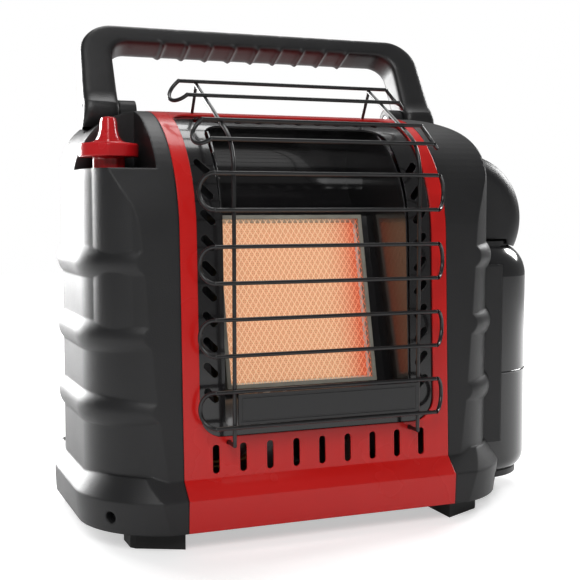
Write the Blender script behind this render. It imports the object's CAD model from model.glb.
"""Looks of a portable propane heater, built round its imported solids, in metres."""

import math

import bmesh
import bpy
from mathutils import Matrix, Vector
import numpy as np


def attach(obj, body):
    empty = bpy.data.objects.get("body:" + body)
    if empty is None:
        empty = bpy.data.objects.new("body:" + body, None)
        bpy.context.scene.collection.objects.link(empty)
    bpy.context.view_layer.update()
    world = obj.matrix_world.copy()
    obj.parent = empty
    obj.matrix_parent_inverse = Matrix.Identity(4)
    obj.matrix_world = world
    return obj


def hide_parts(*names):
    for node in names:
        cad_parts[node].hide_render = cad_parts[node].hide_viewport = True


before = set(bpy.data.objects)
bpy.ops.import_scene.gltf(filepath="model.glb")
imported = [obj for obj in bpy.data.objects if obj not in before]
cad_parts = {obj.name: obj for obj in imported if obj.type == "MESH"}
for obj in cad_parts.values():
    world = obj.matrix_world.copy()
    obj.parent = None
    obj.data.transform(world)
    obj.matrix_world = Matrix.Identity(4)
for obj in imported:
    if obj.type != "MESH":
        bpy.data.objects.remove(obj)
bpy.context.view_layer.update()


# ---- Casing ----------------------------------------------------------------
# The red casing is one sheet of steel, 1.5 mm thick, folded round the front
# and over the top and stoved with a gloss enamel. A little orange peel shows.

class Value:
    """A shader socket that takes part in Python sums: each operator adds one Math node to its material."""

    def __init__(self, paint, socket):
        self.paint, self.socket = paint, socket

    def _math(self, operation, *others):
        return self.paint.node("ShaderNodeMath", {"operation": operation}, (self, *others))

    def _reflected(self, operation, other):
        return self.paint.node("ShaderNodeMath", {"operation": operation}, (other, self))

    def __add__(self, other): return self._math("ADD", other)
    def __radd__(self, other): return self._math("ADD", other)
    def __sub__(self, other): return self._math("SUBTRACT", other)
    def __rsub__(self, other): return self._reflected("SUBTRACT", other)
    def __mul__(self, other): return self._math("MULTIPLY", other)
    def __rmul__(self, other): return self._math("MULTIPLY", other)
    def __truediv__(self, other): return self._math("DIVIDE", other)
    def __rtruediv__(self, other): return self._reflected("DIVIDE", other)
    def __pow__(self, other): return self._math("POWER", other)
    def __mod__(self, other): return self._math("FLOORED_MODULO", other)
    def __lt__(self, other): return self._math("LESS_THAN", other)


class Finish:
    """One material. node() adds any shader node: its settings first, then the values or links of its sockets."""

    def __init__(self, name, colour, roughness, metallic=0.0, coat=0.0, coat_roughness=0.05):
        self.material = bpy.data.materials.new(name)
        self.material.use_nodes = True
        self.tree = self.material.node_tree
        self.shader = self.tree.nodes["Principled BSDF"]
        self.put(Base_Color=(*colour, 1.0), Roughness=roughness, Metallic=metallic,
                 Coat_Weight=coat, Coat_Roughness=coat_roughness)
        self.material.diffuse_color = (*colour, 1.0)

    def node(self, kind, settings=None, inputs=(), output=0):
        made = self.tree.nodes.new(kind)
        for key, value in (settings or {}).items():
            if key == "stops":
                ramp = made.color_ramp
                while len(ramp.elements) < len(value):
                    ramp.elements.new(0.5)
                for element, (place, shade) in zip(ramp.elements, value):
                    element.position, element.color = place, shade
            else:
                setattr(made, key, value)
        pairs = inputs.items() if isinstance(inputs, dict) else enumerate(inputs)
        for key, value in pairs:
            self.feed(made.inputs[key], value)
        return Value(self, made.outputs[output])

    def feed(self, socket, value):
        if isinstance(value, Value):
            self.tree.links.new(value.socket, socket)
        else:
            socket.default_value = value

    def put(self, **inputs):
        for key, value in inputs.items():
            self.feed(self.shader.inputs[key.replace("_", " ")], value)
        return self

    def place(self):
        """Object coordinates, in metres."""
        return self.node("ShaderNodeTexCoord", output="Object")

    def split(self, vector):
        made = self.node("ShaderNodeSeparateXYZ", inputs=(vector,))
        outputs = made.socket.node.outputs
        return tuple(Value(self, outputs[axis]) for axis in "XYZ")

    def noise(self, scale, detail=2.0, roughness=0.5, where=None):
        return self.node("ShaderNodeTexNoise", inputs={
            "Vector": where or self.place(), "Scale": scale, "Detail": detail, "Roughness": roughness})

    def blend(self, amount, low, high):
        """Colour low where amount is 0 and high where it is 1."""
        return self.node("ShaderNodeMix", {"data_type": "RGBA"}, {0: amount, 6: low, 7: high}, output=2)

    def relief(self, height, depth, strength=1.0, edge=0.0006):
        """Raises the surface by height times depth and rounds its edges to a radius, all in metres."""
        rounded = self.node("ShaderNodeBevel", {"samples": 4}, {"Radius": edge})
        self.put(Normal=self.node("ShaderNodeBump", inputs={
            "Height": height, "Distance": depth, "Strength": strength, "Normal": rounded}))
        return self


def shade(*colour):
    """Opaque colour from three linear parts."""
    return (*colour, 1.0)


def dress(finish, *names):
    """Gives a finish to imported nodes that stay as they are."""
    for name in names:
        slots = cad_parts[name].data.materials
        slots.clear()
        slots.append(finish.material)


red_enamel = Finish("red_enamel", (0.60, 0.010, 0.009), 0.26, coat=0.25, coat_roughness=0.06)
peel = red_enamel.noise(260.0, 2.0)
cloud = red_enamel.noise(14.0, 3.0)
red_enamel.put(Base_Color=red_enamel.blend(cloud, shade(0.58, 0.008, 0.007), shade(0.66, 0.012, 0.010)),
               Roughness=0.2 + 0.12 * cloud, Specular_IOR_Level=0.35)
red_enamel.relief(peel, 0.00004, 0.6, 0.0012)
dress(red_enamel, "front_casing")


# ---- Pan, back and side plates ---------------------------------------------
# Pressed steel plates that close the casing. The pan and the back are dipped
# in black enamel; the side plates are bare zinc-plated steel.

black_enamel = Finish("black_enamel", (0.010, 0.010, 0.011), 0.16, coat=0.5)
speck = black_enamel.noise(420.0, 3.0)
smear = black_enamel.noise(18.0, 4.0)
black_enamel.put(Base_Color=black_enamel.blend(smear, shade(0.006, 0.006, 0.0065), shade(0.017, 0.016, 0.017)),
                 Roughness=0.10 + 0.16 * smear)
black_enamel.relief(speck, 0.00003, 0.4)
dress(black_enamel, "base_pan", "back_panel", "reflector_frame", "reflector_box")

zinc_plate = Finish("zinc_plate", (0.46, 0.47, 0.48), 0.34, metallic=1.0)
spangle = zinc_plate.node("ShaderNodeTexVoronoi", inputs={
    "Vector": zinc_plate.place(), "Scale": 90.0}, output="Color")
spangle_x, spangle_y, _ = zinc_plate.split(spangle)
zinc_plate.put(Base_Color=zinc_plate.blend(spangle_x, shade(0.40, 0.41, 0.42), shade(0.55, 0.56, 0.57)),
               Roughness=0.28 + 0.16 * spangle_y)
dress(zinc_plate, "side_plate_left", "side_plate_right", "burner_plenum", "mixing_tube", "jet_bracket",
      "heat_shield", "handle_pivots", "valve_bracket", "striker_plate", "pilot_bracket", "thermocouple",
      "elbow_bracket")

black_zinc = Finish("black_zinc", (0.030, 0.030, 0.031), 0.45, metallic=1.0)
black_zinc.put(Roughness=0.38 + 0.2 * black_zinc.noise(600.0, 3.0))
dress(black_zinc, "cover_screws", "back_screws", "foot_screws")


# ---- End covers ------------------------------------------------------------
# Charcoal mouldings of filled nylon with a fine spark-eroded grain. Each one
# slides over an end of the casing; the right one has the bay for the gas.

charcoal = Finish("charcoal_moulding", (0.016, 0.016, 0.017), 0.42)
grain = charcoal.noise(1100.0, 2.0, 0.6)
mould = charcoal.noise(28.0, 3.0)
charcoal.put(Base_Color=charcoal.blend(mould, shade(0.013, 0.013, 0.0135), shade(0.020, 0.020, 0.021)),
             Roughness=0.34 + 0.10 * mould + 0.08 * grain, Specular_IOR_Level=0.4)
charcoal.relief(grain, 0.0002, 0.7, 0.0025)
dress(charcoal, "left_end_cover", "right_end_cover", "regulator_hood")


# ---- Feet ------------------------------------------------------------------
# Four blocks of black rubber under the covers, each held by one screw.

foot_rubber = Finish("foot_rubber", (0.012, 0.012, 0.012), 0.75)
crumb = foot_rubber.noise(700.0, 3.0)
foot_rubber.put(Base_Color=foot_rubber.blend(crumb, shade(0.008, 0.008, 0.008), shade(0.020, 0.020, 0.020)),
                Roughness=0.65 + 0.2 * crumb)
foot_rubber.relief(crumb, 0.0001, 0.5)
dress(foot_rubber, "foot_front_left", "foot_front_right", "foot_rear_left", "foot_rear_right", "inlet_seal")


# ---- Burner ----------------------------------------------------------------
# A ceramic tile with thousands of small ports glows behind a screen of
# expanded steel, in an enamelled frame. Its right end is cooler and redder.

cream_enamel = Finish("cream_enamel", (0.30, 0.28, 0.24), 0.45)
soot = cream_enamel.noise(60.0, 4.0)
cream_enamel.put(Base_Color=cream_enamel.blend(soot, shade(0.20, 0.19, 0.16), shade(0.42, 0.40, 0.34)),
                 Roughness=0.35 + 0.2 * soot)
cream_enamel.relief(soot, 0.0001, 0.4)
dress(cream_enamel, "burner_frame")

cooling_from, cooling_to = 0.002, 0.030
burner_power = 0.62
port_half = 0.00075

glowing_tile = Finish("glowing_tile", (0.45, 0.22, 0.13), 0.8)
tile_x, _, tile_z = glowing_tile.split(glowing_tile.place())
heat = glowing_tile.noise(22.0, 3.0)
across = glowing_tile.node("ShaderNodeMapRange", {"clamp": True}, (
    tile_x, cooling_from, cooling_to, 0.0, 1.0))
port_u = (tile_x % (2 * port_half) - port_half) / port_half
port_v = (tile_z % (2 * port_half) - port_half) / port_half
port = port_u * port_u + port_v * port_v < 0.35
warmth = across * across + 0.3 * (heat - 0.5)
glow = glowing_tile.blend(warmth, shade(0.74, 0.42, 0.24), shade(0.62, 0.07, 0.025))
glowing_tile.put(Base_Color=glowing_tile.blend(port, shade(0.45, 0.22, 0.13), shade(0.30, 0.12, 0.06)),
                 Emission_Color=glowing_tile.blend(0.22 * port, glow, shade(0.25, 0.06, 0.02)),
                 Emission_Strength=burner_power)
dress(glowing_tile, "ceramic_tile")

felt = Finish("gasket_felt", (0.8, 0.78, 0.72), 0.9)
felt.relief(felt.noise(900.0, 3.0), 0.0002, 0.6)
dress(felt, "tile_gasket")

hot_screen = Finish("hot_screen", (0.62, 0.36, 0.22), 0.5, metallic=0.3)
screen_x, _, _ = hot_screen.split(hot_screen.place())
cooler = hot_screen.node("ShaderNodeMapRange", {"clamp": True}, (
    screen_x, cooling_from, cooling_to, 0.0, 1.0))
hot_screen.put(Emission_Color=hot_screen.blend(cooler * cooler, shade(0.98, 0.66, 0.42), shade(0.85, 0.14, 0.06)),
               Emission_Strength=burner_power, Roughness=0.4 + 0.2 * hot_screen.noise(300.0))

casing_shift = np.array([-0.02325, -0.09275, 0.0])
burner_lean = math.radians(13.4)


def shell(name, grids, finish, body, stands_for=None):
    """One closed mesh from grids of points. Quads join neighbouring rows and columns of each grid, and the last
    column to the first; rows that shrink to a line or a point are welded shut."""
    corners, faces, start = [], [], 0
    for points in grids:
        rows, columns = points.shape[:2]
        i, j = np.arange(rows - 1)[:, None], np.arange(columns)[None, :]
        after = (j + 1) % columns
        quads = np.stack([i * columns + j, i * columns + after, (i + 1) * columns + after, (i + 1) * columns + j], -1)
        corners.append(points.reshape(-1, 3))
        faces.append(quads.reshape(-1, 4) + start)
        start += rows * columns
    corners, faces = np.concatenate(corners), np.concatenate(faces)
    mesh = bpy.data.meshes.new(name)
    mesh.vertices.add(len(corners))
    mesh.vertices.foreach_set("co", corners.ravel())
    mesh.loops.add(faces.size)
    mesh.loops.foreach_set("vertex_index", faces.ravel())
    mesh.polygons.add(len(faces))
    mesh.polygons.foreach_set("loop_start", np.arange(0, faces.size, 4))
    mesh.polygons.foreach_set("use_smooth", np.ones(len(faces), bool))
    mesh.update(calc_edges=True)
    welded = bmesh.new()
    welded.from_mesh(mesh)
    bmesh.ops.remove_doubles(welded, verts=welded.verts, dist=1e-7)
    bmesh.ops.recalc_face_normals(welded, faces=welded.faces)
    welded.to_mesh(mesh)
    welded.free()
    mesh.materials.append(finish.material)
    made = bpy.data.objects.new(name, mesh)
    bpy.context.scene.collection.objects.link(made)
    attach(made, body)
    if stands_for:
        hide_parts(stands_for)
    return made


def from_burner(points):
    """From the burner's own frame (x across, y backwards through it, z up its face) to the part's frame: a turn
    about x by the burner's lean, then a shift to its lower edge."""
    x, y, z = points[..., 0], points[..., 1], points[..., 2]
    turned = np.stack([x, y * math.cos(burner_lean) + z * math.sin(burner_lean),
                       z * math.cos(burner_lean) - y * math.sin(burner_lean)], -1)
    return turned + np.array([0.0, 0.050, 0.101]) + casing_shift


def screen_strands(pitch=0.0044, rise=0.0035, half_w=0.0585, low=0.0015, high=0.1275, y=-0.0016):
    """Strands of expanded steel. Strand k zigzags across at height k times the rise, up by half a rise at every
    second point, and its neighbours are mirrored, so that their points meet and leave diamonds between them. Each is
    a flat bar of four sides, tilted as the slitting die leaves it."""
    count = int((high - low) / rise)
    across = int(2 * half_w / (pitch / 2))
    strand, point = np.meshgrid(np.arange(count), np.arange(across + 1), indexing="ij")
    x = -half_w + point * pitch / 2
    z = low + (strand + 0.5) * rise + np.where((point + strand) % 2 == 0, 0.5, -0.5) * rise
    corner = np.array([[-0.0004, -0.00025], [0.0004, -0.00025], [0.0004, 0.00025], [-0.0004, 0.00025]])
    tilt = math.radians(25)
    up = corner[:, 0] * math.cos(tilt) - corner[:, 1] * math.sin(tilt)
    back = corner[:, 0] * math.sin(tilt) + corner[:, 1] * math.cos(tilt)
    ring = np.stack(np.broadcast_arrays(x[..., None], y + back, z[..., None] + up), -1)
    middle = np.broadcast_to(ring[:, [0, -1]].mean(2, keepdims=True), ring[:, [0, -1]].shape)
    return [from_burner(np.concatenate([middle[k, :1], ring[k], middle[k, 1:]])) for k in range(count)]


shell("burner_mesh", screen_strands(), hot_screen, "casing", "burner_screen")


# ---- Guard -----------------------------------------------------------------
# Six loops of steel wire hooked over two uprights, dipped in satin black.

guard_enamel = Finish("guard_enamel", (0.013, 0.013, 0.014), 0.32, coat=0.2)
run = guard_enamel.noise(150.0, 3.0)
guard_enamel.put(Base_Color=guard_enamel.blend(run, shade(0.006, 0.006, 0.0065), shade(0.013, 0.013, 0.014)),
                 Roughness=0.26 + 0.16 * run)
guard_enamel.relief(run, 0.00006, 0.5)
dress(guard_enamel, "wire_guard", "guard_plate")


# ---- Handle ----------------------------------------------------------------
# A black moulding that folds back over the top. Its arms turn on steel pins
# in the covers, and nine ridges under the grip stop the fingers sliding.

handle_black = Finish("handle_black", (0.012, 0.012, 0.0125), 0.4)
pebble = handle_black.noise(1000.0, 2.0, 0.6)
haze = handle_black.noise(30.0, 3.0)
handle_black.put(Base_Color=handle_black.blend(haze, shade(0.010, 0.010, 0.0105), shade(0.017, 0.017, 0.018)),
                 Roughness=0.34 + 0.14 * haze)
handle_black.relief(pebble, 0.0002, 0.7, 0.0012)
dress(handle_black, "piezo_igniter", "cylinder_foot")

handle_lean = math.radians(27)
handle_pivot = np.array([0.0, 0.1285, 0.305])
pin_end_r = 0.015


def handle_surface(rows=560, columns=56):
    """The arch between an outer and an inner line, both functions of one parameter that runs up the left arm, across
    the grip and down the right arm. Both lines are an upright side, a quarter ellipse and a level top. The section
    between them is a superellipse of high power, whose depth is the grip's, or the round end's at the pins. Ridges
    under the grip are bell curves at an even pitch."""
    t = np.linspace(-1.0, 1.0, rows)
    side, along = np.sign(t), 1.0 - np.abs(t)
    foot, bend = 0.36, 0.56
    rising = np.clip(along / foot, 0, 1)
    turning = np.clip((along - foot) / (bend - foot), 0, 1) * math.pi / 2
    level = np.clip((along - bend) / (1 - bend), 0, 1)
    outer_x = 0.1478 - 0.0034 * rising - 0.026 * (1 - np.cos(turning)) - 0.1184 * level
    outer_z = -0.0148 + 0.0608 * rising + 0.026 * np.sin(turning)
    inner_x = 0.1198 - 0.0150 * (1 - np.cos(turning)) - 0.1048 * level
    inner_z = -0.0148 + 0.0572 * rising + 0.0146 * np.sin(turning)
    pitch = 0.0195
    ridge = np.abs((inner_x * side / pitch + 0.5) % 1.0 - 0.5) * pitch
    ridged = (np.abs(inner_x) < 4.5 * pitch) & (along > foot)
    inner_z = inner_z - np.where(ridged, 0.0021 * np.exp(-(ridge / 0.0019) ** 2), 0.0)
    outer = np.stack([outer_x * side, outer_z], -1)
    inner = np.stack([inner_x * side, inner_z], -1)
    middle_z = (outer_z + inner_z) / 2
    half_depth = np.where(middle_z < 0, np.sqrt(np.clip(pin_end_r ** 2 - middle_z ** 2, 0, None)),
                          0.012 + 0.003 * np.clip(1 - middle_z / 0.012, 0, 1) ** 2)
    angle = np.linspace(0, 2 * math.pi, columns, endpoint=False)
    cosine, sine = np.cos(angle), np.sin(angle)
    u = np.sign(cosine) * np.abs(cosine) ** 0.38
    v = np.sign(sine) * np.abs(sine) ** 0.38
    plane = (outer + inner)[:, None] / 2 + (outer - inner)[:, None] / 2 * u[None, :, None]
    depth = half_depth[:, None] * v[None, :]
    x, z = plane[..., 0], plane[..., 1]
    y = depth * math.cos(handle_lean) + z * math.sin(handle_lean)
    z = z * math.cos(handle_lean) - depth * math.sin(handle_lean)
    return np.stack([x, y, z], -1) + handle_pivot + casing_shift


shell("handle_grip", [handle_surface()], handle_black, "handle", "handle")


# ---- Knob and valve --------------------------------------------------------
# The red knob is pushed down and turned; under it are the brass gas valve,
# its stem, and the plate that strikes the igniter.

knob_red = Finish("knob_red", (0.60, 0.008, 0.012), 0.24, coat=0.35)
flow = knob_red.noise(40.0, 3.0)
knob_red.put(Base_Color=knob_red.blend(flow, shade(0.54, 0.007, 0.010), shade(0.66, 0.011, 0.016)),
             Roughness=0.20 + 0.12 * flow)

knob_at = np.array([-0.139, 0.072, 0.0]) + casing_shift
blade_turn = math.radians(-13)


def knob_surface(rows=150, columns=96):
    """Sections stacked from the collar's foot to the blade's top. Width, length and height follow one parameter along
    the knob's outline; the section turns from a circle into a superellipse as the skirt sweeps up into the blade.
    Eight flutes go round the collar, and a narrow spine down the blade's front end is the pointer."""
    width = (0, 11.5, 11.5, 20.4, 21, 21, 20.2, 13.5, 9.6, 7.6, 6.6, 6.1, 5.4, 3.6, 0)
    length = (0, 11.5, 11.5, 20.4, 21, 21, 20.2, 19.6, 19.1, 18.6, 18.0, 17.0, 15.9, 13.6, 0)
    height = (252.5, 252.5, 268.5, 268.5, 269.1, 276.8, 278, 278.5, 280.0, 283.0, 287, 292.5, 295.2, 296, 296)
    stations = np.linspace(0, len(height) - 1, rows)
    knots = np.arange(len(height))
    across, along, up = (np.interp(stations, knots, line)[:, None] / 1000 for line in (width, length, height))
    angle = np.linspace(0, 2 * math.pi, columns, endpoint=False)[None, :]
    power = 1 - 0.36 * np.clip((stations[:, None] - 6) / 3, 0, 1)
    flute = np.where(up < 0.2684, 0.07 * (0.5 + 0.5 * np.cos(8 * angle)) ** 3, 0.0)
    front = np.abs((angle - 1.5 * math.pi + math.pi) % (2 * math.pi) - math.pi)
    spine = np.where(stations[:, None] > 3, 0.035 * np.exp(-(front / 0.10) ** 2), 0.0)
    x = across * (1 - flute) * np.sign(np.cos(angle)) * np.abs(np.cos(angle)) ** power
    y = along * (1 - flute + spine) * np.sign(np.sin(angle)) * np.abs(np.sin(angle)) ** power
    turned = np.stack([x * math.cos(blade_turn) - y * math.sin(blade_turn),
                       x * math.sin(blade_turn) + y * math.cos(blade_turn), up + 0 * x], -1)
    return turned + knob_at


shell("knob_cap", [knob_surface()], knob_red, "knob", "control_knob")

brass = Finish("brass", (0.62, 0.43, 0.17), 0.3, metallic=1.0)
tarnish = brass.noise(80.0, 4.0)
brass.put(Base_Color=brass.blend(tarnish, shade(0.50, 0.33, 0.11), shade(0.70, 0.50, 0.22)),
          Roughness=0.22 + 0.2 * tarnish)
dress(brass, "gas_jet", "control_valve", "valve_stem", "pilot_burner", "tip_pendulum", "swivel_elbow",
      "supply_tube", "burner_tube", "pilot_tube", "inlet_nut", "cylinder_valve")

pale_moulding = Finish("pale_moulding", (0.76, 0.73, 0.65), 0.5)
pale_moulding.relief(pale_moulding.noise(800.0), 0.0001, 0.3)
dress(pale_moulding, "igniter_plunger", "tip_switch_case", "spark_electrode")


# ---- Regulator and gas cylinder --------------------------------------------
# A die-cast regulator hangs on a swivel inside the hood and carries the
# disposable steel cylinder, painted gloss black.

cast_alloy = Finish("cast_alloy", (0.36, 0.37, 0.38), 0.5, metallic=0.9)
skin = cast_alloy.noise(500.0, 3.0)
cast_alloy.put(Base_Color=cast_alloy.blend(skin, shade(0.30, 0.31, 0.32), shade(0.42, 0.43, 0.44)),
               Roughness=0.42 + 0.18 * skin)
cast_alloy.relief(skin, 0.0001, 0.5)
dress(cast_alloy, "regulator_body", "regulator_cap")

cylinder_black = Finish("cylinder_black", (0.012, 0.012, 0.013), 0.14, coat=0.5)
dent = cylinder_black.noise(12.0, 2.0)
cylinder_black.put(Base_Color=cylinder_black.blend(dent, shade(0.009, 0.009, 0.010), shade(0.018, 0.018, 0.019)),
                   Roughness=0.10 + 0.12 * dent)
cylinder_black.relief(dent, 0.0004, 0.3)
dress(cylinder_black, "gas_cylinder")

cylinder_at = np.array([0.165, 0.095, 0.0]) + casing_shift


def seam_surface(radius=0.0496, low=0.101, rows=12, columns=120):
    """Rolled seam round the cylinder: a half circle of small radius carried round the axis, and closed inside
    the wall."""
    turn = np.linspace(0, 2 * math.pi, columns, endpoint=False)[:, None]
    bow = np.linspace(-math.pi / 2, math.pi / 2, rows)[None, :]
    out = radius - 0.0004 + 0.0009 * np.cos(bow)
    return np.stack([out * np.cos(turn), out * np.sin(turn), low + 0.0010 * np.sin(bow) + 0 * turn], -1) + cylinder_at


seam = seam_surface()
shell("cylinder_seam", [np.concatenate([seam, seam[:1]])], cylinder_black, "cylinder")


# ---- Studio ----------------------------------------------------------------
# A white floor that fades into a white surround, a soft key light from the
# front left, lights from the right, behind and above, and the camera.

floor_mesh = bpy.data.meshes.new("floor")
floor_mesh.from_pydata([(-3, -3, 0), (3, -3, 0), (3, 3, 0), (-3, 3, 0)], [], [(0, 1, 2, 3)])
floor = bpy.data.objects.new("floor", floor_mesh)
bpy.context.scene.collection.objects.link(floor)
floor_white = Finish("floor_white", (0.80, 0.80, 0.80), 0.7)
floor_mesh.materials.append(floor_white.material)
floor_x, floor_y, _ = floor_white.split(floor_white.place())
far_out = floor_white.node("ShaderNodeMapRange", {"clamp": True, "interpolation_type": "SMOOTHSTEP"}, (
    (floor_x * floor_x + floor_y * floor_y) ** 0.5, 0.22, 0.8, 0.5, 1.0))
paths = floor_white.node("ShaderNodeLightPath")
seen = floor_white.node("ShaderNodeMath", {"operation": "MAXIMUM"}, (
    paths, 0.3 * Value(floor_white, paths.socket.node.outputs["Is Glossy Ray"])))
floor_white.put(Emission_Color=floor_white.blend(seen * far_out, shade(0, 0, 0), shade(1, 1, 1)),
                Emission_Strength=1.0)

world = bpy.data.worlds.new("studio")
bpy.context.scene.world = world
world.use_nodes = True
sky = world.node_tree
backdrop = sky.nodes["Background"]
backdrop.inputs["Color"].default_value = shade(1.0, 1.0, 1.0)
rays = sky.nodes.new("ShaderNodeLightPath")
shown = sky.nodes.new("ShaderNodeMath")
shown.operation, shown.use_clamp = "ADD", True
sky.links.new(rays.outputs["Is Camera Ray"], shown.inputs[0])
sky.links.new(rays.outputs["Is Transmission Ray"], shown.inputs[1])
plain = sky.nodes.new("ShaderNodeMapRange")
sky.links.new(shown.outputs["Value"], plain.inputs["Value"])
plain.inputs["To Min"].default_value = 0.16
plain.inputs["To Max"].default_value = 1.0
sky.links.new(plain.outputs["Result"], backdrop.inputs["Strength"])


def lamp(name, place, aim, size, watts):
    """Square area light at a place, turned towards a point."""
    light = bpy.data.lights.new(name, "AREA")
    light.shape, light.size, light.energy = "SQUARE", size, watts
    thing = bpy.data.objects.new(name, light)
    thing.location = place
    direction = Vector(aim) - Vector(place)
    thing.rotation_euler = direction.to_track_quat("-Z", "Y").to_euler()
    bpy.context.scene.collection.objects.link(thing)


lamp("key_light", (-0.7, -1.5, 1.5), (0, 0, 0.18), 1.0, 20)
lamp("fill_light", (1.5, 0.55, 0.9), (0, 0, 0.18), 0.5, 16)
lamp("rim_light", (-0.7, 1.4, 0.45), (0, 0, 0.2), 0.7, 30)
lamp("top_light", (0.2, 0.5, 1.6), (0, 0, 0.2), 0.9, 11)

camera = bpy.data.cameras.new("camera")
camera.sensor_width, camera.lens = 36.0, 1098 / 580 * 36.0
camera.clip_start, camera.clip_end = 0.05, 20.0
photographer = bpy.data.objects.new("camera", camera)
photographer.location = (-0.33575, -0.79135, 0.2346)
photographer.rotation_euler = (math.radians(90 - 4.4), 0.0, math.radians(-22))
bpy.context.scene.collection.objects.link(photographer)
bpy.context.scene.camera = photographer
bpy.context.scene.view_settings.view_transform = "Standard"
